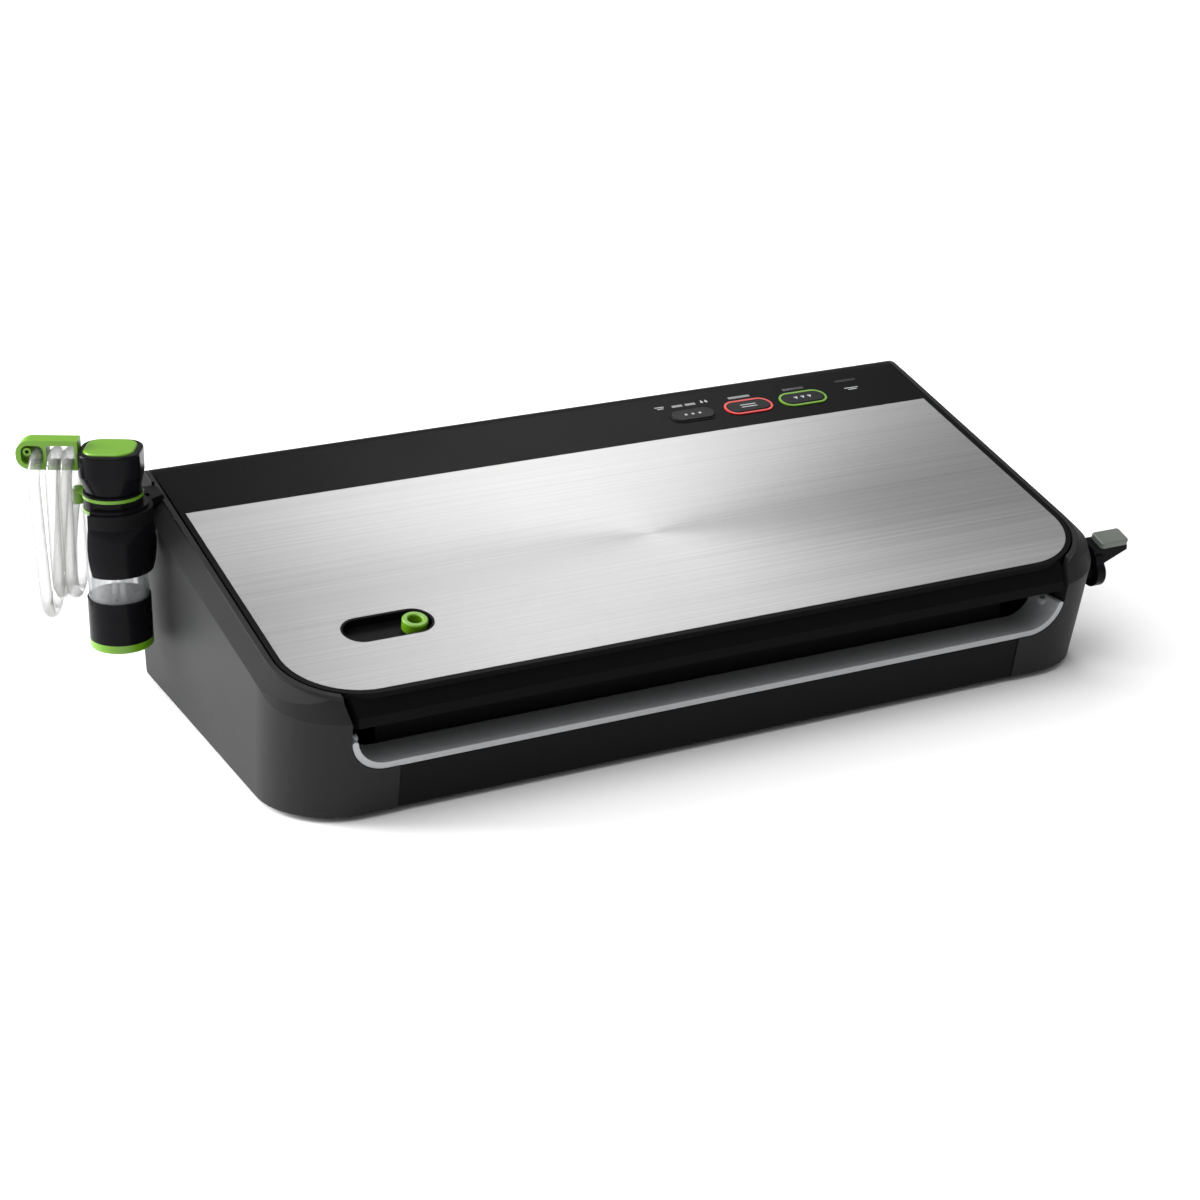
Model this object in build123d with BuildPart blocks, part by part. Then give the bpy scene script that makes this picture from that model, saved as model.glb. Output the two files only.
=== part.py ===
from build123d import *
import math
import os

os.makedirs("parts", exist_ok=True)

# A countertop vacuum sealer: a wedge-shaped base with a hinged lid, three push buttons, a latch
# lever on its right side and a handheld sealer with a clear hose in a holder on its left side.
# Millimetres. +X is the user's right, +Y the rear, +Z up, and the floor is at z = 0.

# ---------------------------------------------------------------- driving dimensions
mid_x = 6.3             # the appliance's own centre plane: the tool makes the left side wider
tilt = 12.75            # slope of the lid, in degrees
front_y = -99.3         # front edge of the steel plate
front_z = 62.2
plate_half = 202.6
plate_len = 154.8       # along the slope
plate_r = 34.0          # front corners of the plate
rim = 2.6               # black rim of the lid round the plate
lid_gap = 1.0           # between the lid and the bezel
bezel_half = 216.0      # the crease where bezel and side wall meet
bezel_drop = 6.3        # how far the bezel falls, square to the lid
floor_z = 3.0           # underside of the base
wall_top = 108.0        # where the drafted walls would end
base_half = 213.2       # half width of the base at the floor
base_front = -96.2      # front wall at the floor
lean = 0.2              # how far the front wall leans out for each millimetre up
corner_r = 36.0
rear_y = 104.0
rear_round = 13.0       # round top edge at the rear, concentric with the hinge
wall = 3.0
skirt_h = 14.0          # depth of the lid
deck_h = 27.5           # the deck lies this far below the top of the lid
front_solid_y = -62.0   # the front corner towers are solid up to here
bay_half = 184.9        # the open front between the towers
panel_half = 161.6      # the black front panel under the tray
tray_z = 24.6           # underside of the bag tray
tray_r = 17.0           # its curved ends
lip_y = -105.1          # front of the lid's lip
lip_crease_z = 52.5
lip_bottom_z = 47.9
strip_u = plate_len + 17.3   # centre line of the push buttons, along the slope
led_u = plate_len + 27.6     # centre line of the lamp windows
port_x = -135.5
port_u = 42.9
tool_x = -232.8         # axis of the handheld sealer
tool_y = 63.0
tool_r = 14.0
latch_y = -80.0         # axis of the latch lever
latch_z = 42.8
shaft_r = 3.0
hook_x = 187.5          # the hook turns beside the right tower's inner face
hose_d = 6.0
bar_turn = 28.0         # the hose bar points this far to the rear of the left side
bar_z = 126.5

slope = math.tan(math.radians(tilt))
cos_t = math.cos(math.radians(tilt))
sin_t = math.sin(math.radians(tilt))
lid_half = plate_half + rim
lid_r = plate_r + rim
open_half = lid_half + lid_gap
open_r = lid_r + lid_gap
hinge_y = rear_y - rear_round
hinge_spots = (-188, 188)


def top_z(y):
    return front_z + (y - front_y) * slope


hinge_z = top_z(hinge_y) - rear_round / cos_t


# ---------------------------------------------------------------- planes
# Every plane has its origin on the appliance's centre plane, so sketches are drawn symmetrically.
def xy(z):
    return Plane(origin=(mid_x, 0, z), x_dir=(1, 0, 0), z_dir=(0, 0, 1))


def xz(y):
    return Plane(origin=(mid_x, y, 0), x_dir=(1, 0, 0), z_dir=(0, -1, 0))


def yz(x):
    return Plane(origin=(mid_x + x, 0, 0), x_dir=(0, 1, 0), z_dir=(1, 0, 0))


def lid(h):
    """Plane of the lid, h above its top face: x across, y up the slope from the plate's front."""
    origin = (mid_x, front_y - h * sin_t, front_z + h * cos_t)
    return Plane(origin=origin, x_dir=(1, 0, 0), z_dir=(0, -sin_t, cos_t))


def tool_plane(z):
    return Plane(origin=(mid_x + tool_x, tool_y, z), x_dir=(1, 0, 0), z_dir=(0, 0, 1))


bar_cos = math.cos(math.radians(bar_turn))
bar_sin = math.sin(math.radians(bar_turn))


def head_plane(z):
    """Level plane on the tool's axis, turned with the hose bar."""
    return Plane(origin=(mid_x + tool_x, tool_y, z), x_dir=(bar_cos, -bar_sin, 0), z_dir=(0, 0, 1))


def bar_plane(along, side=0.0, z=bar_z):
    """Plane across the hose bar: x runs from rear to front, y is up, z points out along it."""
    x = mid_x + tool_x - along * bar_cos + side * bar_sin
    y = tool_y + along * bar_sin + side * bar_cos
    return Plane(origin=(x, y, z), x_dir=(-bar_sin, -bar_cos, 0), z_dir=(-bar_cos, bar_sin, 0))


def bar_side(side):
    """Elevation of the hose bar: x runs out along it, y is up and z points to the rear."""
    return Plane(
        origin=(mid_x + tool_x + side * bar_sin, tool_y + side * bar_cos, bar_z),
        x_dir=(-bar_cos, bar_sin, 0),
        z_dir=(bar_sin, bar_cos, 0),
    )


# ---------------------------------------------------------------- shapes used more than once
def outline(half, front, rear, front_r, rear_r=0.0):
    """Rounded rectangle from front to rear, in the current sketch."""
    with Locations((0, (front + rear) / 2)):
        Rectangle(2 * half, rear - front)
    fillet(vertices().group_by(Axis.Y)[0], front_r)
    if rear_r:
        fillet(vertices().group_by(Axis.Y)[-1], rear_r)


def side_profile(inset=0.0):
    """Everything under the lid's plane and its round rear edge, as seen from the side."""
    with BuildPart() as profile:
        with BuildSketch(yz(-260)):
            with BuildLine():
                r = rear_round - inset
                arc = CenterArc((hinge_y, hinge_z), r, 0, 90 + tilt)
                far = -150
                top_far = top_z(far) - inset / cos_t
                Polyline(arc @ 1, (far, top_far), (far, -5), (rear_y - inset, -5), arc @ 0)
            make_face()
        extrude(amount=520)
    return profile.part


def bezel_roof(lower=0.0):
    """Everything under the bezel, which falls outwards all round the lid."""
    fall = (bezel_half - open_half) / bezel_drop
    deep = 40
    with BuildPart() as roof:
        with BuildSketch(lid(-lower - deep)) as low:
            grown = deep * fall
            outline(open_half + grown, -rim - lid_gap - grown, 400, open_r + grown)
        with BuildSketch(lid(-lower + 5)):
            grown = -5 * fall
            outline(open_half + grown, -rim - lid_gap - grown, 400, open_r + grown)
        loft(ruled=True)
        extrude(low.sketch, amount=-200)
    return roof.part


def front_roof():
    """Everything behind the steep face in front of the lid, with its wide round corners."""
    low_z = 50
    high_z = 110
    steep = math.tan(math.radians(30))
    half = 217.5
    front = base_front - lean * (low_z - floor_z) - 0.2
    with BuildPart() as roof:
        with BuildSketch(xy(low_z)) as low:
            outline(half, front, 300, 37)
        with BuildSketch(xy(high_z)):
            outline(half, front + (high_z - low_z) * steep, 300, 37)
        loft(ruled=True)
        extrude(low.sketch, amount=-low_z - 10)
    return roof.part


def walls(inset=0.0):
    """The drafted walls of the base, between the floor and above its highest point."""
    with BuildPart() as block:
        for z in (floor_z, wall_top):
            up = (z - floor_z) / (wall_top - floor_z)
            half = base_half + up * 3.8 - inset
            front = base_front - lean * (z - floor_z) + inset
            rear = rear_y - inset
            with BuildSketch(xy(z)):
                outline(half, front, rear, corner_r - inset, 14 - inset)
        loft(ruled=True)
    return block.part


def bay():
    """The open front between the towers, with the curved lower corners of the bag tray."""
    with BuildPart() as space:
        with BuildSketch(xz(front_solid_y)):
            with BuildLine():
                Polyline(
                    (-bay_half, 50),
                    (-bay_half, tray_z),
                    (bay_half, tray_z),
                    (bay_half, 50),
                    (open_half - 18.5, 64),
                    (open_half - 18.5, 130),
                    (18.5 - open_half, 130),
                    (18.5 - open_half, 64),
                    close=True,
                )
            make_face()
            fillet(vertices().group_by(Axis.Y)[0], tray_r)
        extrude(amount=80)
        with BuildSketch(xz(front_solid_y)):
            with Locations((0, tray_z / 2)):
                Rectangle(2 * panel_half, tray_z + 1)
        extrude(amount=80)
    return space.part


def finish(built, name):
    built.part.label = name
    export_step(built.part, f"parts/{name}.step")


envelope_walls = walls()
outer_profile = side_profile()
inner_profile = side_profile(wall)
outer_bezel = bezel_roof()
inner_bezel = bezel_roof(wall * 1.2)
front_face = front_roof()
bay_space = bay()

# ---------------------------------------------------------------- base shell
with BuildPart() as cavity:
    add(walls(wall))
    with BuildSketch(yz(-260)):
        with Locations(((front_solid_y + 150) / 2, 60)):
            Rectangle(150 - front_solid_y, 140)
    extrude(amount=520, mode=Mode.INTERSECT)
    add(inner_profile, mode=Mode.INTERSECT)
    add(inner_bezel, mode=Mode.INTERSECT)

with BuildPart() as recess_wall:
    with BuildSketch(lid(-deck_h - 4)):
        outline(open_half + 2.5, -rim - lid_gap - 2.5, 300, open_r + 2.5)
    extrude(amount=deck_h + 4)
    with BuildSketch(lid(-deck_h - 4)):
        outline(open_half, -rim - lid_gap, 330, open_r)
    extrude(amount=deck_h + 8, mode=Mode.SUBTRACT)
    add(outer_profile, mode=Mode.INTERSECT)

slot_y = 74.0
slot_x = -bezel_half + 5.4
gland_x = 130.0
gland_z = 24.0

with BuildPart() as base_shell:
    add(envelope_walls)
    add(outer_profile, mode=Mode.INTERSECT)
    add(outer_bezel, mode=Mode.INTERSECT)
    add(front_face, mode=Mode.INTERSECT)
    add(cavity.part, mode=Mode.SUBTRACT)
    add(recess_wall.part)
    # the lid drops into this opening
    with BuildSketch(lid(-deck_h)):
        outline(open_half, -rim - lid_gap, 400, open_r)
    extrude(amount=deck_h + 20, mode=Mode.SUBTRACT)
    # the rear wall behind the lid stays, but clear of the lid's round rear edge
    with BuildSketch(yz(-open_half)):
        with Locations((rear_y - wall / 2, (hinge_z + 76) / 2)):
            Rectangle(wall, hinge_z - 76)
    extrude(amount=2 * open_half)
    with BuildSketch(yz(-open_half)):
        with Locations((hinge_y, hinge_z)):
            Circle(rear_round + 0.6)
    extrude(amount=2 * open_half, mode=Mode.SUBTRACT)
    add(bay_space, mode=Mode.SUBTRACT)
    # slot for the tool holder in the left bezel
    with BuildSketch(xy(70)):
        with Locations((slot_x, slot_y)):
            Rectangle(6.4, 15.4)
    extrude(amount=50, mode=Mode.SUBTRACT)
    # bore of the latch shaft in the right tower
    with BuildSketch(yz(hook_x + 4)):
        with Locations((latch_y, latch_z)):
            Circle(shaft_r + 0.1)
    extrude(amount=30, mode=Mode.SUBTRACT)
    # inlet of the mains lead
    with BuildSketch(xz(rear_y + 5)):
        with Locations((gland_x, gland_z)):
            Circle(6.2)
    extrude(amount=12, mode=Mode.SUBTRACT)
finish(base_shell, "base_shell")

# ---------------------------------------------------------------- base: cover, panel, tray, deck
cover_top = floor_z + 2.5
cover_half = base_half - wall - 0.5
foot_spots = [(-190, -50), (190, -50), (-190, 84), (190, 84)]
screw_spots = [(-150, -50), (0, -50), (150, -50), (-150, 90), (0, 90), (150, 90)]

with BuildPart() as bottom_cover:
    with BuildSketch(xy(floor_z)):
        outline(cover_half, front_solid_y + 0.3, rear_y - 5.2, 1, 12)
        with Locations((0, (base_front + 5 + front_solid_y) / 2)):
            Rectangle(2 * panel_half - 1, front_solid_y - base_front - 3)
    extrude(amount=cover_top - floor_z)
    # cooling slots under the pump
    with BuildSketch(xy(floor_z)):
        with GridLocations(9, 40, 8, 2):
            SlotOverall(28, 3, rotation=90)
    extrude(amount=5, mode=Mode.SUBTRACT)
    with BuildSketch(xy(floor_z)):
        with Locations(*screw_spots):
            Circle(2.2)
    extrude(amount=5, mode=Mode.SUBTRACT)
finish(bottom_cover, "bottom_cover")

with BuildPart() as feet:
    with BuildSketch(xy(0)):
        with Locations(*foot_spots):
            Circle(8)
    extrude(amount=floor_z)
    chamfer(edges().group_by(Axis.Z)[0], 0.8)
finish(feet, "feet")

with BuildPart() as bottom_screws:
    with BuildSketch(xy(floor_z - 1.4)):
        with Locations(*screw_spots):
            Circle(3.6)
    extrude(amount=1.4)
    with BuildSketch(xy(floor_z)):
        with Locations(*screw_spots):
            Circle(1.5)
    extrude(amount=9)
    with BuildSketch(xy(floor_z - 1.4)):
        with Locations(*screw_spots):
            Rectangle(4.5, 0.9)
            Rectangle(0.9, 4.5)
    extrude(amount=0.8, mode=Mode.SUBTRACT)
finish(bottom_screws, "bottom_screws")

panel_top = tray_z - 0.2
with BuildPart() as front_panel:
    with BuildSketch(yz(-panel_half + 0.4)):
        with BuildLine():
            low_front = base_front + 0.5
            high_front = low_front - lean * (panel_top - floor_z)
            Polyline(
                (low_front, floor_z),
                (high_front, panel_top),
                (-84, panel_top),
                (-84, panel_top - 2.5),
                (high_front + 3.4, panel_top - 2.5),
                (low_front + 3, floor_z),
                close=True,
            )
        make_face()
    extrude(amount=2 * panel_half - 0.8)
finish(front_panel, "front_panel")

# The tray is a channel with a bright front rim and ends that curve up into the towers.
tray_half = bay_half - 0.4
tray_tip_z = 41.0
tray_floor = 3.0


with BuildPart() as bag_tray:
    with BuildSketch(xz(-80.6)):
        outline(tray_half, tray_z + 0.2, 60, tray_r - 0.3)
    extrude(amount=24)
    with BuildSketch(xz(-80.6)):
        outline(tray_half - 2.6, tray_z + 0.2 + tray_floor, 60, tray_r - 2.6)
    extrude(amount=24, mode=Mode.SUBTRACT)
    # the front rim follows the leaning front wall
    with BuildSketch(yz(-200)):
        with BuildLine():
            rim_low = base_front - lean * (tray_z - floor_z) + 0.6
            rim_high = base_front - lean * (tray_tip_z - floor_z) + 0.6
            Polyline((rim_low, tray_z), (rim_high, tray_tip_z), (-70, tray_tip_z), (-70, tray_z), close=True)
        make_face()
    extrude(amount=400, mode=Mode.INTERSECT)
    # round tips
    fillet(edges().filter_by(Axis.Y).group_by(Axis.Z)[-1], 1.0)
    # a small peg inside each curved end
    for side in (-1, 1):
        with BuildSketch(yz(side * (tray_half - 1.5))):
            with Locations((-92, 38)):
                Circle(1.8)
        extrude(amount=-side * 4.6)
finish(bag_tray, "bag_tray")

# The deck under the lid carries the seal bar, the drip tray and the lower gasket.
deck_front_u = 13.6
deck_half = open_half - 0.2
deck_step_u = 32.4
drip_half = 168.0
drip_front_u = 52.0
drip_rear_u = 84.0
gasket_front_u = 44.0
gasket_rear_u = 92.0
gasket_half = 178.0
deck_front_y = front_y + deck_h * sin_t + deck_front_u * cos_t

with BuildPart() as inner_deck:
    with BuildSketch(lid(-deck_h)):
        with Locations((0, (deck_step_u + 188) / 2)):
            Rectangle(2 * deck_half, 188 - deck_step_u)
        with Locations((0, (deck_front_u + deck_step_u) / 2)):
            Rectangle(2 * (bay_half - 2.4), deck_step_u - deck_front_u)
    extrude(amount=-3)
    # the front wall of the deck, behind the bag tray
    with BuildSketch(xy(tray_z)):
        with Locations((0, deck_front_y + 2.2)):
            Rectangle(2 * (panel_half + 3), 3)
    extrude(amount=12)
    with BuildSketch(lid(-deck_h)):
        with Locations((0, (drip_front_u + drip_rear_u) / 2)):
            RectangleRounded(2 * drip_half, drip_rear_u - drip_front_u, 8)
    extrude(amount=-3, mode=Mode.SUBTRACT)
    # brackets of the hinge
    for spot in hinge_spots:
        for side in (-14.5, 11.5):
            with BuildSketch(yz(spot + side)):
                with Locations((hinge_y, hinge_z)):
                    Circle(6)
                with BuildLine():
                    Polyline(
                        (hinge_y - 5.5, hinge_z + 2),
                        (hinge_y + 1, hinge_z - 5.5),
                        (hinge_y - 6, hinge_z - 17),
                        (hinge_y - 20, hinge_z - 20),
                        close=True,
                    )
                make_face()
            extrude(amount=3)
        with BuildSketch(yz(spot - 15)):
            with Locations((hinge_y, hinge_z)):
                Circle(3.05)
        extrude(amount=30, mode=Mode.SUBTRACT)
    add(side_profile(wall + 1.4), mode=Mode.INTERSECT)
finish(inner_deck, "inner_deck")

with BuildPart() as hinge_pins:
    for spot in hinge_spots:
        with BuildSketch(yz(spot - 14.5)):
            with Locations((hinge_y, hinge_z)):
                Circle(3.0)
        extrude(amount=29)
finish(hinge_pins, "hinge_pins")

with BuildPart() as drip_tray:
    with BuildSketch(lid(-deck_h)):
        with Locations((0, (drip_front_u + drip_rear_u) / 2)):
            RectangleRounded(2 * drip_half + 5, drip_rear_u - drip_front_u + 5, 10)
    extrude(amount=1)
    with BuildSketch(lid(-deck_h)):
        with Locations((0, (drip_front_u + drip_rear_u) / 2)):
            RectangleRounded(2 * drip_half - 0.6, drip_rear_u - drip_front_u - 0.6, 7.7)
    extrude(amount=-9)
    with BuildSketch(lid(-deck_h + 1)):
        with Locations((0, (drip_front_u + drip_rear_u) / 2)):
            RectangleRounded(2 * drip_half - 4, drip_rear_u - drip_front_u - 4, 6)
    extrude(amount=-8.5, mode=Mode.SUBTRACT)
finish(drip_tray, "drip_tray")


def gasket_ring():
    """The foam ring round the vacuum channel, in the current sketch."""
    deep = gasket_rear_u - gasket_front_u
    with Locations((0, (gasket_front_u + gasket_rear_u) / 2)):
        RectangleRounded(2 * gasket_half, deep, 14)
        RectangleRounded(2 * gasket_half - 9, deep - 9, 10, mode=Mode.SUBTRACT)


with BuildPart() as lower_gasket:
    with BuildSketch(lid(-deck_h)):
        gasket_ring()
    extrude(amount=5.3)
finish(lower_gasket, "lower_gasket")

seal_u = 22.0
with BuildPart() as seal_bar:
    with BuildSketch(lid(-deck_h)):
        with Locations((0, seal_u)):
            Rectangle(336, 10)
    extrude(amount=4)
    with BuildSketch(lid(-deck_h + 4)):
        with Locations((0, seal_u)):
            Rectangle(326, 4)
    extrude(amount=-1, mode=Mode.SUBTRACT)
finish(seal_bar, "seal_bar")

with BuildPart() as heating_strip:
    with BuildSketch(lid(-deck_h + 3)):
        with Locations((0, seal_u)):
            Rectangle(325, 3)
    extrude(amount=1)
finish(heating_strip, "heating_strip")

with BuildPart() as heater_tape:
    with BuildSketch(lid(-deck_h + 4)):
        with Locations((0, seal_u)):
            Rectangle(330, 8)
    extrude(amount=0.5)
finish(heater_tape, "heater_tape")

# ---------------------------------------------------------------- base: pump and electrics
pump_y = 30.0
pump_x = -40.0
pump_r = 17.0
pump_z = cover_top + 6 + pump_r

with BuildPart() as pump_motor:
    with BuildSketch(yz(pump_x)):
        with Locations((pump_y, pump_z)):
            Circle(pump_r)
    extrude(amount=52)
    fillet(edges().group_by(Axis.X)[-1], 3)
    # the cradle on the cover
    with BuildSketch(xy(cover_top)):
        with Locations((pump_x + 26, pump_y)):
            Rectangle(40, 24)
    extrude(amount=12)
finish(pump_motor, "pump_motor")

with BuildPart() as pump_body:
    with BuildSketch(xy(cover_top)):
        with Locations((pump_x - 22, pump_y)):
            RectangleRounded(44, 42, 4)
    extrude(amount=44)
    fillet(edges().group_by(Axis.Z)[-1], 2)
    with BuildSketch(yz(pump_x - 48)):
        with Locations((pump_y - 10, pump_z)):
            Circle(3.4)
    extrude(amount=5)
finish(pump_body, "pump_body")

with BuildPart() as pump_hose:
    hose_x = pump_x - 48
    with BuildLine(xy(0)) as line:
        FilletPolyline(
            (hose_x, pump_y - 10, pump_z),
            (hose_x - 18, pump_y - 10, pump_z),
            (hose_x - 18, -24, pump_z),
            (hose_x - 18, -24, 40),
            radius=6,
        )
    with BuildSketch(Plane(origin=line.line @ 0, z_dir=line.line % 0)):
        Circle(3.2)
    sweep()
finish(pump_hose, "pump_hose")

with BuildPart() as transformer:
    with BuildSketch(xy(cover_top)):
        with Locations((110, 30)):
            Rectangle(52, 36)
    extrude(amount=40)
    with BuildSketch(xy(cover_top + 8)):
        with Locations((110, 30)):
            Rectangle(34, 52)
    extrude(amount=24)
finish(transformer, "transformer")

with BuildPart() as power_board:
    with BuildSketch(xy(cover_top)):
        with Locations(*[(35 + dx, 30 + dy) for dx in (-16, 16) for dy in (-24, 24)]):
            Circle(2.5)
    extrude(amount=6)
    with BuildSketch(xy(cover_top + 6)):
        with Locations((35, 30)):
            Rectangle(42, 58)
    extrude(amount=1.6)
    with BuildSketch(xy(cover_top + 7.6)):
        with Locations((28, 14), (28, 32)):
            Circle(6)
        with Locations((44, 46)):
            Rectangle(16, 14)
    extrude(amount=14)
finish(power_board, "power_board")

with BuildPart() as cord_gland:
    with BuildSketch(xz(rear_y + 2)):
        with Locations((gland_x, gland_z)):
            Circle(9)
    extrude(amount=2)
    fillet(edges().group_by(Axis.Y)[-1], 0.8)
    with BuildSketch(xz(rear_y)):
        with Locations((gland_x, gland_z)):
            Circle(6)
    extrude(amount=12)
    with BuildSketch(xz(rear_y + 3)):
        with Locations((gland_x, gland_z)):
            Circle(3.2)
    extrude(amount=20, mode=Mode.SUBTRACT)
finish(cord_gland, "cord_gland")

# ---------------------------------------------------------------- lid
skirt_front_u = 2.5     # the lid's walls stand back from its rim, to clear the towers as it opens
lid_wall = 2.5
slab = 3.0

with BuildPart() as lid_hollow:
    with BuildSketch(lid(-skirt_h)):
        outline(lid_half - lid_wall, skirt_front_u + lid_wall, 300, lid_r - lid_wall)
    extrude(amount=skirt_h - slab)
    add(side_profile(lid_wall), mode=Mode.INTERSECT)

with BuildPart() as lip:
    with BuildSketch(yz(-187)):
        with BuildLine():
            Polyline(
                (-99.2, 60.6),
                (lip_y, lip_crease_z),
                (lip_y, lip_bottom_z),
                (-93.5, lip_bottom_z + 1.2),
                (-93.5, 61),
                close=True,
            )
        make_face()
    extrude(amount=374)
    with BuildSketch(xy(40)):
        with BuildLine():
            Polyline((-184, -90), (-184, -97), (-182, lip_y), (182, lip_y), (184, -97))
            Polyline((184, -97), (184, -90), (-184, -90))
        make_face()
    extrude(amount=30, mode=Mode.INTERSECT)
    # hollow underneath
    with BuildSketch(yz(-176)):
        with BuildLine():
            Polyline(
                (-97.5, 57),
                (lip_y + 2.6, lip_crease_z - 1.6),
                (lip_y + 2.6, 40),
                (-90, 40),
                (-90, 57),
                close=True,
            )
        make_face()
    extrude(amount=352, mode=Mode.SUBTRACT)

pill_x = port_x - 13.0
pill_long = 43.5
pill_wide = 19.0
button_long = 24.5
button_wide = 10.0
button_spots = {"food_button": 73.6, "seal_button": 106.3, "vac_button": 138.9}
lamp_spots = [(69.8, led_u), (77.4, led_u), (106.1, led_u), (138.7, led_u), (171.0, led_u + 0.6)]
lamp_sizes = [6.0, 6.0, 12.6, 12.6, 12.6]
knuckle_half = 10.5

with BuildPart() as lid_shell:
    with BuildSketch(lid(-slab)):
        outline(lid_half, -rim, 300, lid_r)
    extrude(amount=slab)
    with BuildSketch(lid(-skirt_h)):
        outline(lid_half, skirt_front_u, 300, lid_r)
    extrude(amount=skirt_h - slab)
    add(outer_profile, mode=Mode.INTERSECT)
    add(lid_hollow.part, mode=Mode.SUBTRACT)
    add(lip.part)
    # the rear edge runs on round the hinge, below the lid's own underside
    with BuildSketch(yz(-lid_half)):
        with BuildLine():
            outer = CenterArc((hinge_y, hinge_z), rear_round, -10, 22)
            inner = CenterArc((hinge_y, hinge_z), rear_round - lid_wall, -10, 22)
            Line(outer @ 0, inner @ 0)
            Line(outer @ 1, inner @ 1)
        make_face()
    extrude(amount=2 * lid_half)
    # pocket of the steel plate
    with BuildSketch(lid(-0.8)):
        with Locations((0, plate_len / 2)):
            Rectangle(2 * plate_half + 0.2, plate_len + 0.2)
        fillet(vertices().group_by(Axis.Y)[0], plate_r + 0.1)
    extrude(amount=2, mode=Mode.SUBTRACT)
    # knuckles of the hinge
    for spot in hinge_spots:
        with BuildSketch(yz(spot - knuckle_half)):
            with Locations((hinge_y, hinge_z)):
                Circle(6)
            with BuildLine():
                Polyline(
                    (hinge_y - 6, hinge_z),
                    (hinge_y - 9, hinge_z + 9.5),
                    (hinge_y + 3, hinge_z + 10.5),
                    (hinge_y + 6, hinge_z),
                    close=True,
                )
            make_face()
        extrude(amount=2 * knuckle_half)
        with BuildSketch(yz(spot - 20)):
            with Locations((hinge_y, hinge_z)):
                Circle(3.06)
        extrude(amount=40, mode=Mode.SUBTRACT)
    # holes of the accessory port, the buttons and the lamps
    with BuildSketch(lid(-slab - 1)):
        with Locations((pill_x, port_u)):
            SlotOverall(pill_long + 0.2, pill_wide + 0.2)
        with Locations(*[(x, strip_u) for x in button_spots.values()]):
            SlotOverall(button_long + 0.4, button_wide + 0.4)
        for (x, u), long in zip(lamp_spots, lamp_sizes):
            with Locations((x, u)):
                Rectangle(long + 0.1, 2.1)
    extrude(amount=6, mode=Mode.SUBTRACT)
finish(lid_shell, "lid_shell")

with BuildPart() as steel_plate:
    with BuildSketch(lid(-0.8)):
        with Locations((0, plate_len / 2)):
            Rectangle(2 * plate_half, plate_len)
        fillet(vertices().group_by(Axis.Y)[0], plate_r)
        with Locations((pill_x, port_u)):
            SlotOverall(pill_long, pill_wide, mode=Mode.SUBTRACT)
    extrude(amount=0.9)
    chamfer(faces().sort_by(Axis.Z)[-1].outer_wire().edges(), 0.25)
finish(steel_plate, "steel_plate")

port_floor = 4.0
with BuildPart() as port_inset:
    with BuildSketch(lid(-port_floor - 2)):
        with Locations((pill_x, port_u)):
            SlotOverall(pill_long - 0.2, pill_wide - 0.2)
    extrude(amount=port_floor + 1.9)
    with BuildSketch(lid(-port_floor)):
        with Locations((pill_x, port_u)):
            SlotOverall(pill_long - 2.2, pill_wide - 2.2)
    extrude(amount=port_floor + 2, mode=Mode.SUBTRACT)
    with BuildSketch(lid(-port_floor - 3)):
        with Locations((port_x, port_u)):
            Circle(3.25)
    extrude(amount=4, mode=Mode.SUBTRACT)
finish(port_inset, "port_inset")

with BuildPart() as port_fitting:
    with BuildSketch(lid(-port_floor)):
        with Locations((port_x, port_u)):
            Circle(5.9)
            Circle(3.25, mode=Mode.SUBTRACT)
    extrude(amount=port_floor + 1)
    chamfer(faces().sort_by(Axis.Z)[-1].edges(), 0.5)
finish(port_fitting, "port_fitting")

liner_h = skirt_h + 2.5
with BuildPart() as lid_liner:
    with BuildSketch(lid(-skirt_h)):
        outline(lid_half - 1.5, skirt_front_u + 1.5, 165, lid_r - 1.5, 6)
    extrude(amount=-2.5)
    # a shallow channel over the drip tray
    with BuildSketch(lid(-liner_h)):
        with Locations((0, (drip_front_u + drip_rear_u) / 2)):
            RectangleRounded(2 * drip_half, drip_rear_u - drip_front_u, 8)
    extrude(amount=1.2, mode=Mode.SUBTRACT)
    # the air hole under the accessory port
    with BuildSketch(lid(-liner_h - 1)):
        with Locations((port_x, gasket_front_u + 16)):
            Circle(3.3)
    extrude(amount=5, mode=Mode.SUBTRACT)
finish(lid_liner, "lid_liner")

with BuildPart() as upper_gasket:
    with BuildSketch(lid(-liner_h - 5.5)):
        gasket_ring()
    extrude(amount=5.5)
finish(upper_gasket, "upper_gasket")

with BuildPart() as pressure_strip:
    with BuildSketch(lid(-deck_h + 4.7)):
        with Locations((0, seal_u)):
            Rectangle(330, 7)
    extrude(amount=deck_h - 4.7 - liner_h)
finish(pressure_strip, "pressure_strip")

with BuildPart() as port_tube:
    with BuildSketch(lid(-skirt_h)):
        with Locations((port_x, port_u)):
            Circle(5)
            Circle(3.25, mode=Mode.SUBTRACT)
    extrude(amount=skirt_h - port_floor - 2)
finish(port_tube, "port_tube")

board_h = 8.0
with BuildPart() as button_board:
    with BuildSketch(lid(-board_h)):
        with Locations((114.5, strip_u + 3)):
            Rectangle(125, 24)
    extrude(amount=1.6)
    with BuildSketch(lid(-board_h)):
        with Locations((56, strip_u + 4), (172, strip_u + 4)):
            Circle(2.4)
    extrude(amount=board_h - slab)
    with BuildSketch(lid(-board_h)):
        for (x, u), long in zip(lamp_spots, lamp_sizes):
            with Locations((x, u)):
                Rectangle(long - 2, 1.4)
    extrude(amount=board_h - 4.4)
finish(button_board, "button_board")

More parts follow.
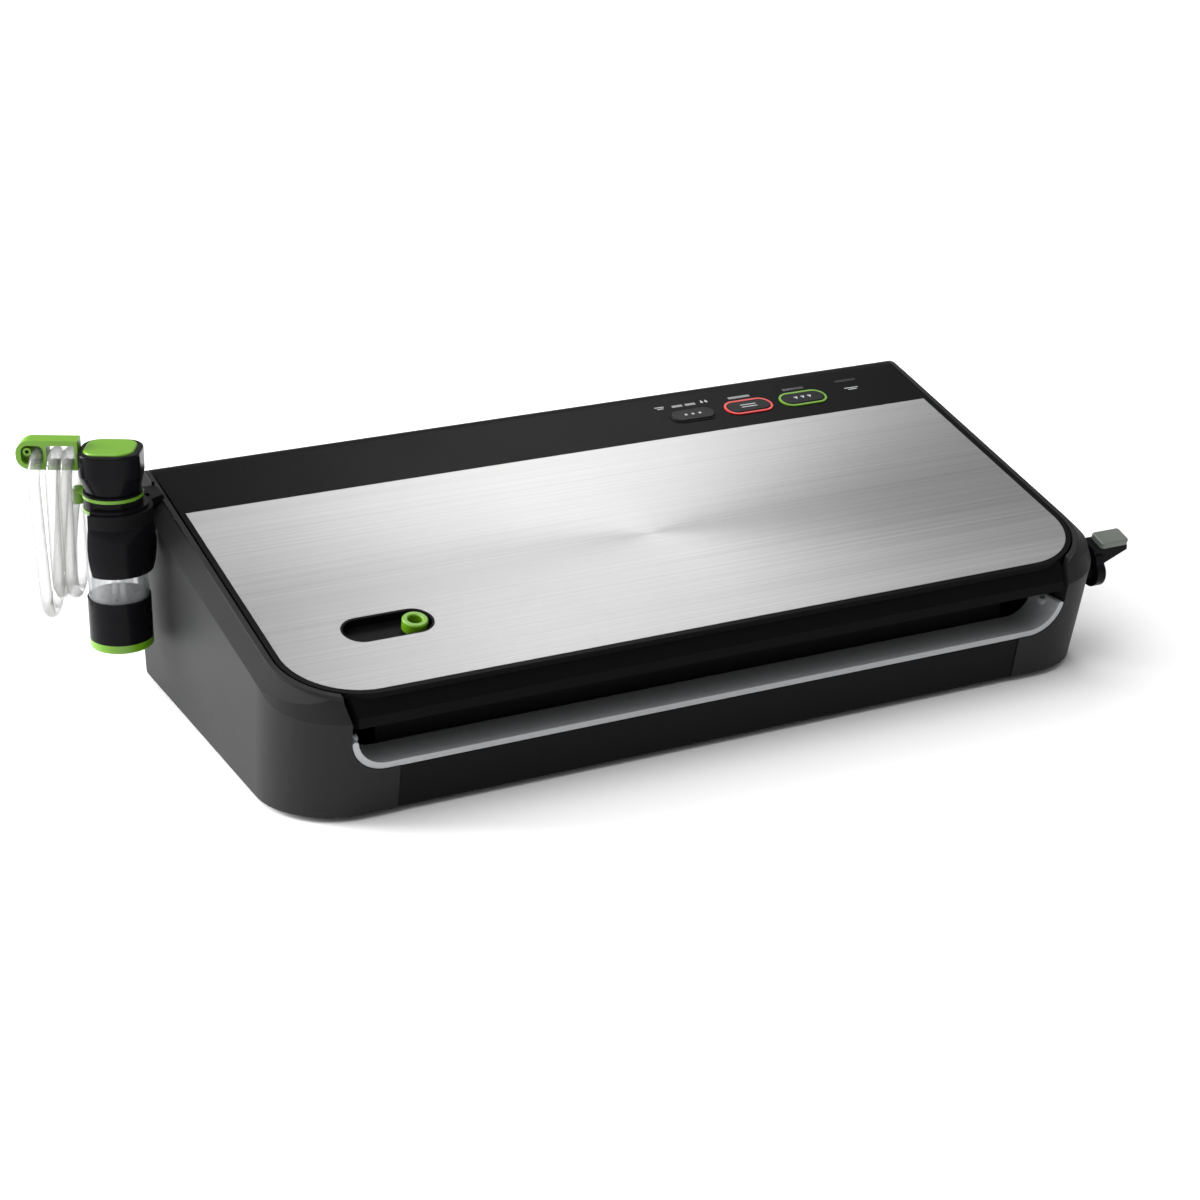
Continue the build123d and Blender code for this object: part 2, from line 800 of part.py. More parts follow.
with BuildPart() as led_windows:
    with BuildSketch(lid(-slab)):
        for (x, u), long in zip(lamp_spots, lamp_sizes):
            with Locations((x, u)):
                Rectangle(long, 2)
    extrude(amount=slab + 0.1)
finish(led_windows, "led_windows")


def bezel_ring(name, x, u, long, wide, raised):
    """A thin ring let on to the strip round one button."""
    with BuildPart() as ring:
        with BuildSketch(lid(0)):
            with Locations((x, u)):
                SlotOverall(long, wide)
                SlotOverall(button_long + 0.5, button_wide + 0.5, mode=Mode.SUBTRACT)
        extrude(amount=raised)
    finish(ring, name)


bezel_ring("food_surround", button_spots["food_button"], strip_u, 26.4, 12.0, 0.35)
bezel_ring("seal_ring", button_spots["seal_button"], strip_u, 27.2, 13.0, 0.6)
bezel_ring("vac_ring", button_spots["vac_button"], strip_u, 27.2, 13.0, 0.6)

for name, x in button_spots.items():
    with BuildPart() as button:
        with BuildSketch(lid(-slab - 1)):
            with Locations((x, strip_u)):
                SlotOverall(button_long, button_wide)
        extrude(amount=slab + 1.9)
        fillet(edges().group_by(Axis.Z)[-1], 0.6)
        # the flange keeps the button in
        with BuildSketch(lid(-slab - 1.4)):
            with Locations((x, strip_u)):
                SlotOverall(button_long + 2.4, button_wide + 2.4)
        extrude(amount=1.2)
    finish(button, name)

with BuildPart() as lid_screws:
    for x in (-170, 0, 170):
        for u in (34, 130):
            with BuildSketch(lid(-liner_h - 1.6)):
                with Locations((x, u)):
                    Circle(3.4)
            extrude(amount=1.6)
            with BuildSketch(lid(-liner_h - 1.6)):
                with Locations((x, u)):
                    Rectangle(4, 0.9)
                    Rectangle(0.9, 4)
            extrude(amount=0.8, mode=Mode.SUBTRACT)
finish(lid_screws, "lid_screws")

# ---------------------------------------------------------------- latch
with BuildPart() as latch_catch:
    with BuildSketch(yz(hook_x)):
        with BuildLine():
            Polyline((-88, 54), (-88, 42), (-85, 42), (-85, 44), (-86, 44), (-86, 54), close=True)
        make_face()
    extrude(amount=4)
    with BuildSketch(lid(-liner_h)):
        outline(lid_half + 2, -10, 200, 4)
    extrude(amount=-40, mode=Mode.INTERSECT)
finish(latch_catch, "latch_catch")

with BuildPart() as latch_shaft:
    with BuildSketch(yz(hook_x)):
        with Locations((latch_y, latch_z)):
            Circle(shaft_r)
    extrude(amount=bezel_half + 0.6 - hook_x)
finish(latch_shaft, "latch_shaft")

with BuildPart() as latch_hook:
    with BuildSketch(yz(hook_x)):
        with Locations((latch_y, latch_z)):
            Circle(shaft_r + 1)
        with Locations((latch_y, latch_z + 3.2)):
            Rectangle(3, 5.6)
        with Locations((latch_y, latch_z)):
            Circle(shaft_r, mode=Mode.SUBTRACT)
    extrude(amount=4)
finish(latch_hook, "latch_hook")

lever_x = bezel_half + 0.6
pad_near_x = 221.0
pad_far_x = 237.2
with BuildPart() as latch_lever:
    with BuildSketch(yz(lever_x)):
        with Locations((latch_y, latch_z)):
            Circle(7.4)
        with BuildLine():
            Polyline((-86.5, 43), (-84.6, 52), (-71.6, 55.5), (-72.8, 42), close=True)
        make_face()
    extrude(amount=4.8)
    with BuildSketch(xz(-72.8)):
        with BuildLine():
            Polyline(
                (lever_x, 45.5),
                (lever_x + 4.8, 46.5),
                (pad_far_x - 0.6, 52.4),
                (pad_far_x - 0.6, 58.2),
                (lever_x, 58.2),
                close=True,
            )
        make_face()
    extrude(amount=10)
    # the top of the arm leans forward like the pad
    with BuildSketch(yz(lever_x - 1)):
        with BuildLine():
            Polyline((-90, 52.4), (-70, 58.9), (-70, 66), (-90, 66), close=True)
        make_face()
    extrude(amount=40, mode=Mode.SUBTRACT)
    fillet(edges().filter_by(Axis.X).group_by(Axis.Z)[0], 0.1)
finish(latch_lever, "latch_lever")

pad_plane = Plane(
    origin=(mid_x + (pad_near_x + pad_far_x) / 2, -77.8, 56.4),
    x_dir=(1, 0, 0),
    z_dir=(0, -math.sin(math.radians(18)), math.cos(math.radians(18))),
)
with BuildPart() as latch_pad:
    with BuildSketch(pad_plane):
        RectangleRounded(pad_far_x - pad_near_x, 10.4, 1.6)
    extrude(amount=3)
    fillet(edges().group_by(Axis.Z)[-1], 0.8)
finish(latch_pad, "latch_pad")

# ---------------------------------------------------------------- holder of the handheld sealer
collar_z = 95.0
collar_h = 6.5
collar_in = 15.1
collar_out = 17.8
skirt_low = 71.0
prong_z = 97.8
holder_top = collar_z + collar_h

with BuildPart() as tool_holder:
    # the collar is open on the far left
    with BuildSketch(tool_plane(collar_z)):
        with BuildLine():
            outer = CenterArc((0, 0), collar_out, -150, 200)
            inner = CenterArc((0, 0), collar_in, -150, 200)
            Line(outer @ 0, inner @ 0)
            Line(outer @ 1, inner @ 1)
        make_face()
    extrude(amount=collar_h)
    # two prongs reach over the bezel to the collar
    for gap_y in (-4.2, 4.2):
        near_y = slot_y + gap_y
        far_y = tool_y + 5 + gap_y
        with BuildSketch(xy(prong_z)):
            with BuildLine():
                Polyline(
                    (slot_x + 2.4, near_y - 2.2),
                    (slot_x + 2.4, near_y + 2.2),
                    (tool_x + 15.4, far_y + 2.2),
                    (tool_x + 15.4, far_y - 2.2),
                    close=True,
                )
            make_face()
        extrude(amount=holder_top - prong_z)
    # the foot stands in the bezel's slot
    with BuildSketch(xy(90.5)):
        with Locations((slot_x, slot_y)):
            Rectangle(5.6, 14.6)
    extrude(amount=holder_top - 90.5)
finish(tool_holder, "tool_holder")


def tool_section(degrees):
    """Upright plane through the tool's axis: x runs outwards, y is up."""
    angle = math.radians(degrees)
    out = (math.cos(angle), math.sin(angle), 0)
    return Plane(
        origin=(mid_x + tool_x, tool_y, 0),
        x_dir=out,
        z_dir=(math.sin(angle), -math.cos(angle), 0),
    )


tool_axis = Axis((mid_x + tool_x, tool_y, 0), (0, 0, 1))
with BuildPart() as tool_cradle:
    # a bulging half-round skirt that hangs from the collar in front of the clear chamber
    with BuildSketch(tool_section(-150)):
        with BuildLine():
            bulge = ThreePointArc((collar_in + 1.6, skirt_low), (18.7, 80), (collar_out, collar_z))
            Polyline(bulge @ 1, (collar_in, collar_z), (collar_in, skirt_low), bulge @ 0)
        make_face()
    revolve(axis=tool_axis, revolution_arc=120)
finish(tool_cradle, "tool_cradle")

# ---------------------------------------------------------------- handheld sealer
ring_z = 33.0
tip_z = 37.2
chamber_z = 57.5
neck_z = 100.0
head_z = 109.0
head_top = 129.0
head_wide = 28.4

with BuildPart() as tip_ring:
    with BuildSketch(tool_plane(ring_z)):
        Circle(14.7)
        Circle(12.2, mode=Mode.SUBTRACT)
    extrude(amount=tip_z - ring_z)
    fillet(edges().group_by(Axis.Z)[0], 1.0)
finish(tip_ring, "tip_ring")

with BuildPart() as tool_tip:
    with BuildSketch(tool_plane(tip_z)):
        Circle(14.7)
        Circle(12.2, mode=Mode.SUBTRACT)
    extrude(amount=chamber_z - tip_z)
    with BuildSketch(tool_plane(chamber_z - 3)):
        Circle(12.5)
        with PolarLocations(8, 6):
            Circle(1.5, mode=Mode.SUBTRACT)
    extrude(amount=3)
finish(tool_tip, "tool_tip")

with BuildPart() as tool_chamber:
    with BuildSketch(tool_plane(chamber_z)):
        Circle(tool_r)
        Circle(tool_r - 1.6, mode=Mode.SUBTRACT)
    extrude(amount=neck_z - chamber_z)
finish(tool_chamber, "tool_chamber")

with BuildPart() as tool_inner_tube:
    with BuildSketch(tool_plane(chamber_z)):
        Circle(3.2)
        Circle(2.0, mode=Mode.SUBTRACT)
        with PolarLocations(6.2, 3, start_angle=30):
            Rectangle(6.4, 1.0)
    extrude(amount=neck_z - chamber_z)
finish(tool_inner_tube, "tool_inner_tube")

band_low = 100.0
band_high = 106.6
band_h = 1.5
with BuildPart() as tool_neck:
    with BuildSketch(tool_plane(neck_z)):
        Circle(13.6)
    extrude(amount=head_z - neck_z)
    for z in (band_low, band_high):
        with BuildSketch(tool_plane(z)):
            Circle(14)
            Circle(12.6, mode=Mode.SUBTRACT)
        extrude(amount=band_h, mode=Mode.SUBTRACT)
    # the shoulder rests on the collar
    with BuildSketch(tool_plane(holder_top + 0.1)):
        with BuildLine():
            outer = CenterArc((0, 0), 16.0, -150, 200)
            inner = CenterArc((0, 0), 13.2, -150, 200)
            Line(outer @ 0, inner @ 0)
            Line(outer @ 1, inner @ 1)
        make_face()
    extrude(amount=1.5)
    with BuildSketch(tool_plane(neck_z)):
        Circle(12.6)
    extrude(amount=head_z - neck_z)
finish(tool_neck, "tool_neck")

with BuildPart() as tool_bands:
    for z in (band_low, band_high):
        with BuildSketch(tool_plane(z)):
            Circle(13.9)
            Circle(12.6, mode=Mode.SUBTRACT)
        extrude(amount=band_h)
finish(tool_bands, "tool_bands")

with BuildPart() as tool_head:
    with BuildSketch(head_plane(head_z)):
        RectangleRounded(25.0, 25.0, 12.4)
    with BuildSketch(head_plane(head_z + 9)):
        RectangleRounded(head_wide, head_wide, 9.5)
    loft(ruled=True)
    with BuildSketch(head_plane(head_z + 9)):
        RectangleRounded(head_wide, head_wide, 9.5)
    extrude(amount=head_top - head_z - 9)
    fillet(edges().group_by(Axis.Z)[-1], 1.2)
    # the well of the button, and room for its travel
    with BuildSketch(head_plane(head_top - 7)):
        RectangleRounded(head_wide - 4.6, head_wide - 4.6, 8.0)
    extrude(amount=8, mode=Mode.SUBTRACT)
finish(tool_head, "tool_head")

with BuildPart() as tool_button:
    with BuildSketch(head_plane(head_top - 4.6)):
        RectangleRounded(head_wide - 5, head_wide - 5, 7.8)
    extrude(amount=5.4)
    fillet(edges().group_by(Axis.Z)[-1], 1.0)
finish(tool_button, "tool_button")

# ---------------------------------------------------------------- hose, and the bar it hangs on
bar_near = head_wide / 2
bar_far = 42.5
bar_deep = 9.0
bar_high = 13.8
window_high = 9.0
coil_window = (15.6, 28.4)      # along the bar
loop_window = (29.8, 38.0)
loop_r = 12.5                   # centre line of the hose where it turns
hose_r = hose_d / 2
turn_top = 113.7                # centre of the loops' upper turn
coil_low = 71.5                 # centre of the lower turn of the two inner loops
loop_low = 61.5                 # the outer loop hangs lower
barb_along = 18.9
barb_z = 104.05

elbow = bar_plane(barb_along, loop_r, barb_z).origin
with BuildPart() as hose_barb:
    with BuildSketch(bar_plane(2, loop_r, barb_z)):
        Circle(2.5)
    extrude(amount=barb_along - 2)
    with Locations(elbow):
        Sphere(2.5)
    with BuildSketch(Plane(origin=elbow, z_dir=(0, 0, -1))):
        Circle(2.4)
    extrude(amount=6)
finish(hose_barb, "hose_barb")

with BuildPart() as hose_adapter:
    with BuildSketch(bar_side(-bar_deep / 2)):
        with Locations(((bar_near + bar_far) / 2, 0)):
            Rectangle(bar_far - bar_near, bar_high)
        fillet(vertices().group_by(Axis.X)[-1], 6.4)
        with Locations((sum(coil_window) / 2, 0)):
            Rectangle(coil_window[1] - coil_window[0], window_high, mode=Mode.SUBTRACT)
    extrude(amount=bar_deep)
    # the outer window is a pocket, with a wall behind the end of the hose
    with BuildSketch(bar_side(-bar_deep / 2)):
        with Locations((sum(loop_window) / 2 + 1, 0)):
            RectangleRounded(loop_window[1] - loop_window[0] + 2, window_high, 3)
    extrude(amount=bar_deep / 2 + 0.2, mode=Mode.SUBTRACT)
    # a second nozzle, left free
    with BuildSketch(bar_side(-bar_deep / 2 + 0.6)):
        with Locations((37.3, 1.4)):
            Circle(1.9)
            Circle(0.9, mode=Mode.SUBTRACT)
    extrude(amount=bar_deep / 2)
finish(hose_adapter, "hose_adapter")


def hanging_turns(name, along, low, width):
    """The outer shape of hose turns that lie side by side over the bar."""
    high = turn_top - low
    with BuildPart() as turns:
        with BuildSketch(bar_plane(along)):
            with Locations((0, (turn_top + low) / 2 - bar_z)):
                SlotCenterToCenter(high, 2 * (loop_r + hose_r), rotation=90)
                SlotCenterToCenter(high, 2 * (loop_r - hose_r), rotation=90, mode=Mode.SUBTRACT)
        extrude(amount=width)
    finish(turns, name)


hanging_turns("hose_coil", barb_along - hose_r, coil_low, 2 * hose_d + 0.2)
hanging_turns("hose_loop", 30.2, loop_low, hose_d)
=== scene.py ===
# %% [markdown]
# # A countertop vacuum sealer
# The appliance is a wedge with a steel-faced lid, three push buttons, a latch lever on its right
# and a handheld sealer with a coiled clear hose on its left. Its pieces come from the packed
# model, and this lesson gives them their finishes and adds the hose and the printed marks.

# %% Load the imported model
import math

import bmesh
import bpy
from mathutils import Matrix, Vector


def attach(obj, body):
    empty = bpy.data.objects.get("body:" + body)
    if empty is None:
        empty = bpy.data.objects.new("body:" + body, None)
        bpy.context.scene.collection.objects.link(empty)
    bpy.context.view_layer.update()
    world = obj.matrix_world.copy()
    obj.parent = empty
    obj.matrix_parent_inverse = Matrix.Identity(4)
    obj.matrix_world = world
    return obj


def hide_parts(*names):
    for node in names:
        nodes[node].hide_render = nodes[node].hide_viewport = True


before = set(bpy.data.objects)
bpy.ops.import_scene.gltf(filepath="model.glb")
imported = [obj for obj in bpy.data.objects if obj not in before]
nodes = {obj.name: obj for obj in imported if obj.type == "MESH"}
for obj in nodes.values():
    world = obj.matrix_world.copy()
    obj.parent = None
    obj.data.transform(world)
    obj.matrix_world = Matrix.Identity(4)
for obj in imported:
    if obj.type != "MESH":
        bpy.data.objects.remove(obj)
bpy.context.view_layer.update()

# %% [markdown]
# ## The appliance's own directions
# Almost everything on the lid is square to its slope, so one helper turns lid sizes into places:
# `across` is measured from the centre plane, `up` along the slope from the front edge of the
# steel and `high` out of its top face. The values are the model's own, in metres.

# %% Places on the lid
MIDDLE = 0.0063
TILT = math.radians(12.75)
LID_FRONT = Vector((MIDDLE, -0.0993, 0.0622))
UP_SLOPE = Vector((0, math.cos(TILT), math.sin(TILT)))
OUT_OF_LID = Vector((0, -math.sin(TILT), math.cos(TILT)))
ACROSS = Vector((1, 0, 0))
PLATE_LONG = 0.1548
BUTTON_UP = PLATE_LONG + 0.0173
LAMP_UP = PLATE_LONG + 0.0276


def on_lid(across, up, high=0.0):
    return LID_FRONT + ACROSS * across + UP_SLOPE * up + OUT_OF_LID * high


print("rear edge of the steel at", on_lid(0, PLATE_LONG))

# %% [markdown]
# ## Places along the hose bar
# The bar of the handheld sealer points out to the left and a little to the rear. `along` runs out
# from the sealer's axis, `side` is square to the bar, positive at the rear, and `high` is height.

# %% Places on the hose bar
TOOL_AXIS = Vector((MIDDLE - 0.2328, 0.063, 0))
BAR_TURN = math.radians(28)
ALONG_BAR = Vector((-math.cos(BAR_TURN), math.sin(BAR_TURN), 0))
BESIDE_BAR = Vector((math.sin(BAR_TURN), math.cos(BAR_TURN), 0))


def at_bar(along, side, high):
    return TOOL_AXIS + ALONG_BAR * along + BESIDE_BAR * side + Vector((0, 0, high))


print("the sealer's axis stands at", TOOL_AXIS)

# %% [markdown]
# ## Camera
# A long lens from the upper left keeps the wedge's edges nearly parallel. The camera is placed by
# three turns, yaw, pitch and a slight roll, because each can be changed without the others.

# %% Camera
YAW = math.radians(27.376)
PITCH = math.radians(22.037)
ROLL = math.radians(-0.615)
LENS_MM = 79.94
SENSOR_MM = 36
CAMERA_PLACE = (-0.5559, -1.0587, 0.5216)

forward = Vector((math.sin(YAW) * math.cos(PITCH), math.cos(YAW) * math.cos(PITCH), -math.sin(PITCH)))
level_right = Vector((math.cos(YAW), -math.sin(YAW), 0))
level_down = forward.cross(level_right)
right = level_right * math.cos(ROLL) + level_down * math.sin(ROLL)
down = level_down * math.cos(ROLL) - level_right * math.sin(ROLL)

camera_data = bpy.data.cameras.new("camera")
camera_data.lens = LENS_MM
camera_data.sensor_width = SENSOR_MM
camera = bpy.data.objects.new("camera", camera_data)
bpy.context.scene.collection.objects.link(camera)
turn = Matrix((right, -down, -forward)).transposed()
camera.matrix_world = Matrix.Translation(CAMERA_PLACE) @ turn.to_4x4()
bpy.context.scene.camera = camera
print("camera looks along", forward)

# %% [markdown]
# ## The hose
# The handheld sealer's hose is a clear, limp 6 mm tube of about half a metre. It leaves a barb
# under the sealer's head, hangs over the bar in three turns and ends inside the bar. Two turns
# hang straight side by side. The third hangs lower and leans, because it crosses to the outer
# window on its way. Each turn is half a circle below and half a circle above.

# %% Route of the hose
HOSE_WIDE = 0.006
HOSE_LONG = 0.476
TURN_RADIUS = 0.0125
REACH = TURN_RADIUS * 1.02  # the curve runs a little inside its points
TURN_TOP = 0.1137
TURN_LOW = 0.0715
LOOP_LOW = 0.0615
FIRST_TURN, SECOND_TURN, THIRD_TURN = 0.0189, 0.0251, 0.0332
STEPS = 6


def half_turn(start_along, end_along, middle_high, upper):
    """Half a turn from the rear to the front below, or from the front to the rear above."""
    points = []
    for step in range(STEPS + 1):
        share = step / STEPS
        angle = math.pi * share
        along = start_along + (end_along - start_along) * share
        if upper:
            points.append(at_bar(along, -REACH * math.cos(angle), middle_high + REACH * math.sin(angle)))
        else:
            points.append(at_bar(along, REACH * math.cos(angle), middle_high - REACH * math.sin(angle)))
    return points


BARB_END = at_bar(FIRST_TURN, TURN_RADIUS, 0.09805)
route = [BARB_END, at_bar(FIRST_TURN, TURN_RADIUS, 0.088)]
for turn_along in (FIRST_TURN, SECOND_TURN):
    route += half_turn(turn_along, turn_along, TURN_LOW, upper=False)
    route += half_turn(turn_along, turn_along, TURN_TOP, upper=True)
route += half_turn(0.0304, 0.0312, LOOP_LOW, upper=False)
route += half_turn(THIRD_TURN, THIRD_TURN, TURN_TOP, upper=True)[: STEPS // 2 + 1]
route[-1] = at_bar(THIRD_TURN, 0.0, TURN_TOP + TURN_RADIUS)
print(len(route), "points on the hose")

# %% [markdown]
# The section is a circle of 1 m that each point's radius brings down to the hose's own size, so
# that the curve's box is as small as the hose: Blender adds the points' radii to that box.

# %% Hose as a curve with a round section
hose_curve = bpy.data.curves.new("hose", "CURVE")
hose_curve.dimensions = "3D"
hose_line = hose_curve.splines.new("NURBS")
hose_line.points.add(len(route) - 1)
for point, place in zip(hose_line.points, route):
    point.co = (*place, 1)
    point.radius = HOSE_WIDE / 2
hose_line.order_u = 3
hose_line.use_endpoint_u = True
hose_curve.resolution_u = 8
hose_curve.bevel_depth = 1
hose_curve.bevel_resolution = 6
hose_curve.use_fill_caps = True
hose = bpy.data.objects.new("hose", hose_curve)
bpy.context.scene.collection.objects.link(hose)


def line_length(curve_object):
    """Length of a curve's own line, with its round section left out."""
    bare = curve_object.data.copy()
    bare.bevel_depth = 0
    probe = bpy.data.objects.new("probe", bare)
    mesh = bpy.data.meshes.new_from_object(probe)
    spots = [vertex.co for vertex in mesh.vertices]
    total = sum((spots[a] - spots[b]).length for a, b in (edge.vertices for edge in mesh.edges))
    bpy.data.objects.remove(probe)
    bpy.data.meshes.remove(mesh)
    bpy.data.curves.remove(bare)
    return total


print("hose measures", round(line_length(hose), 4), "m of", HOSE_LONG)
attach(hose, "tool")
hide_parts("hose_coil", "hose_loop")

# %% [markdown]
# ## Shader sums in plain Python
# A finish is a small sum: a base colour, plus grain, minus wear. Written as nodes, such sums fill
# pages, so one class wraps a socket and turns Python's operators into Math nodes. A second class
# holds one material and makes any other node from its type, its settings and its socket values.

# %% A socket that can be added and multiplied
class Amount:
    def __init__(self, finish, socket):
        self.finish = finish
        self.socket = socket

    def sum_of(self, operation, first, second):
        return self.finish.node("ShaderNodeMath", {"operation": operation}, {0: first, 1: second})

    def __add__(self, other):
        return self.sum_of("ADD", self, other)

    def __radd__(self, other):
        return self.sum_of("ADD", other, self)

    def __sub__(self, other):
        return self.sum_of("SUBTRACT", self, other)

    def __mul__(self, other):
        return self.sum_of("MULTIPLY", self, other)


# %% One material and its nodes
COLOR_A, COLOR_B, COLOR_OUT = 6, 7, 2  # sockets of a Mix node in its colour mode


class Finish:
    def __init__(self, name, color, roughness, **fixed):
        self.material = bpy.data.materials.new(name)
        self.material.use_nodes = True
        self.tree = self.material.node_tree
        self.tree.nodes.clear()
        self.shader = self.tree.nodes.new("ShaderNodeBsdfPrincipled")
        end = self.tree.nodes.new("ShaderNodeOutputMaterial")
        self.tree.links.new(self.shader.outputs[0], end.inputs["Surface"])
        self.shader.inputs["Base Color"].default_value = (*color, 1)
        self.shader.inputs["Roughness"].default_value = roughness
        for socket, value in fixed.items():
            self.shader.inputs[socket.replace("_", " ")].default_value = value

    def node(self, kind, settings=None, values=None, output=0):
        made = self.tree.nodes.new(kind)
        for setting, value in (settings or {}).items():
            setattr(made, setting, value)
        for socket, value in (values or {}).items():
            if isinstance(value, Amount):
                self.tree.links.new(value.socket, made.inputs[socket])
            else:
                made.inputs[socket].default_value = value
        return Amount(self, made.outputs[output])

    def place(self):
        """Where a point is on the piece, in metres in the model's frame."""
        return self.node("ShaderNodeTexCoord", output="Object")

    def stretched(self, x, y, z):
        return self.node("ShaderNodeMapping", None, {"Vector": self.place(), "Scale": (x, y, z)})

    def noise(self, scale, detail, vector=None):
        values = {"Vector": vector or self.place(), "Scale": scale, "Detail": detail}
        return self.node("ShaderNodeTexNoise", None, values)

    def mixed(self, share, first, second):
        """One colour where the share is 0 and the other where it is 1."""
        colors = {COLOR_A: (*first, 1), COLOR_B: (*second, 1)}
        return self.node("ShaderNodeMix", {"data_type": "RGBA"}, {"Factor": share, **colors}, COLOR_OUT)

    def feed(self, socket, value):
        self.tree.links.new(value.socket, self.shader.inputs[socket])

    def bump(self, height, strength, distance):
        values = {"Height": height, "Strength": strength, "Distance": distance}
        self.feed("Normal", self.node("ShaderNodeBump", None, values))


def shade(color, factor):
    return tuple(min(1.0, part * factor) for part in color)


print("ready to mix finishes")

# %% [markdown]
# ## Moulded plastic
# Most of the appliance is moulded plastic. The charcoal base has a spark-eroded texture: fine,
# even grains about a third of a millimetre wide that scatter the light. The lid and the handheld
# sealer came from polished moulds, so they are smooth and deep, with faint dust and handling
# marks that only show in the gloss. One recipe serves all, with the grain as its main choice.

# %% Recipe for moulded plastic
GRAIN_DEEP = 0.00015


def moulded(name, color, roughness, grain, grain_scale=3200, clouds=0.08, **fixed):
    finish = Finish(name, color, roughness, **fixed)
    soft = finish.noise(22, 3)
    fine = finish.noise(grain_scale, 2)
    tone = soft * 0.6 + fine * 0.4
    finish.feed("Base Color", finish.mixed(tone, shade(color, 1 - clouds), shade(color, 1 + clouds)))
    finish.feed("Roughness", roughness - 0.05 + soft * 0.07 + fine * 0.05)
    finish.bump(fine, grain, GRAIN_DEEP)
    return finish.material


charcoal = moulded("charcoal_textured", (0.015, 0.015, 0.0157), 0.5, grain=0.5, clouds=0.1,
                   Specular_IOR_Level=0.12)
lid_black = moulded("lid_black", (0.004, 0.004, 0.0044), 0.34, grain=0.1, Specular_IOR_Level=0.03)
satin_black = moulded("satin_black", (0.006, 0.006, 0.0065), 0.45, grain=0.35, Specular_IOR_Level=0.06)
gloss_black = moulded("gloss_black", (0.005, 0.0045, 0.0055), 0.2, grain=0.03, Specular_IOR_Level=0.06)
tray_grey = moulded("tray_grey", (0.36, 0.37, 0.38), 0.3, grain=0.12, Coat_Weight=0.15)
pad_grey = moulded("pad_grey_green", (0.125, 0.14, 0.122), 0.34, grain=0.12)
button_black = moulded("button_black", (0.01, 0.01, 0.011), 0.34, grain=0.3, Specular_IOR_Level=0.08)
lime = moulded("lime_plastic", (0.115, 0.28, 0.005), 0.32, grain=0.1, clouds=0.05)
ring_red = moulded("ring_red", (0.58, 0.02, 0.018), 0.3, grain=0.05)
lamp_dark = moulded("lamp_window", (0.012, 0.014, 0.013), 0.12, grain=0.02)
print(len(bpy.data.materials), "finishes so far")

# %% [markdown]
# ## Brushed steel
# The lid's plate is rolled steel, brushed sideways by an abrasive belt. The belt leaves long
# scratches that differ in depth, so light runs along them in bands. Three noises stretched far
# along the brushing give hair-fine lines, longer streaks and soft clouds. The stretch is what
# makes the brushing, and the bump stays low because real scratches are only microns deep.

# %% Brushed steel
HAIR_SCALE = 9000
BAND_SCALE = 700
SCRATCH_BUMP = 0.25
SCRATCH_DEEP = 0.00008


def brushed(name, color, roughness, stretch, streaks):
    finish = Finish(name, color, roughness, Metallic=1.0, Anisotropic=0.55)
    hair = finish.noise(1, 3, finish.stretched(*(HAIR_SCALE / part for part in stretch)))
    bands = finish.noise(1, 4, finish.stretched(*(BAND_SCALE / part for part in stretch)))
    clouds = finish.noise(9, 2)
    tone = (hair * 0.45 + bands * 0.45 + clouds * 0.1 - 0.5) * 2.6 + 0.5
    finish.feed("Base Color", finish.mixed(tone, shade(color, 1 - streaks), shade(color, 1 + streaks)))
    finish.feed("Roughness", roughness - 0.08 + bands * 0.12 + hair * 0.06)
    finish.bump(hair * 0.6 + bands * 0.4, SCRATCH_BUMP, SCRATCH_DEEP)
    return finish.material


steel = brushed("brushed_steel", (0.43, 0.43, 0.43), 0.4, (900, 1, 1), streaks=0.2)
bright_steel = brushed("bright_steel", (0.62, 0.62, 0.62), 0.24, (3, 1, 3), streaks=0.1)
seal_aluminium = brushed("seal_aluminium", (0.7, 0.7, 0.71), 0.34, (60, 1, 1), streaks=0.12)
print("steel is brushed along X")

# %% [markdown]
# ## Clear plastic
# The chamber of the handheld sealer is clear hard plastic and its hose is soft clear vinyl, which
# is a little cloudy. Light passes straight through thin walls, so both mix a glossy surface with
# plain transparency. They are denser towards their rims, where a ray crosses more of the wall,
# and their colour is darkened there as painted shade, for the dark edges that bent light gives a
# clear tube. Faint clouding keeps them from looking empty.

# %% Clear plastic
RIM_ALPHA = 0.9
# Painted shade: the share of the colour that is left at the rims of the clear walls.
PAINTED_RIM_SHADE = 0.2


def clear(name, color, alpha, roughness, cloud=0.12):
    finish = Finish(name, color, roughness, IOR=1.5, Coat_Weight=0.6, Coat_Roughness=0.05)
    rim = finish.node("ShaderNodeLayerWeight", None, {"Blend": 0.5}, output="Facing")
    milk = finish.noise(160, 3)
    finish.feed("Alpha", alpha + rim * (RIM_ALPHA - alpha) * 0.9 + milk * cloud - cloud / 2)
    # Painted shade: the colour darkens towards the rims, where a clear wall would show darker surroundings.
    finish.feed("Base Color", finish.mixed(rim, color, shade(color, PAINTED_RIM_SHADE)))
    finish.feed("Roughness", roughness + milk * 0.06)
    finish.bump(milk, 0.08, 0.0002)
    return finish.material


chamber_clear = clear("chamber_clear", (0.7, 0.72, 0.74), 0.09, 0.05)
hose_clear = clear("hose_clear", (0.42, 0.42, 0.41), 0.24, 0.08, cloud=0.04)
print("clear plastics mixed")

# %% [markdown]
# ## Hidden and soft parts
# Foam, rubber, woven tape, circuit boards and the motor are seen only with the lid open or from
# below. Foam gets round cells from a Voronoi pattern, the tape a plain weave from two waves, and
# the boards tracks under green lacquer.

# %% Foam, rubber, tape and boards
def foam(name, color):
    finish = Finish(name, color, 0.85)
    cells = finish.node("ShaderNodeTexVoronoi", None, {"Vector": finish.place(), "Scale": 1500})
    finish.feed("Base Color", finish.mixed(cells, shade(color, 1.5), shade(color, 0.5)))
    finish.feed("Roughness", 0.8 + cells * 0.15)
    finish.bump(cells, 0.6, 0.0003)
    return finish.material


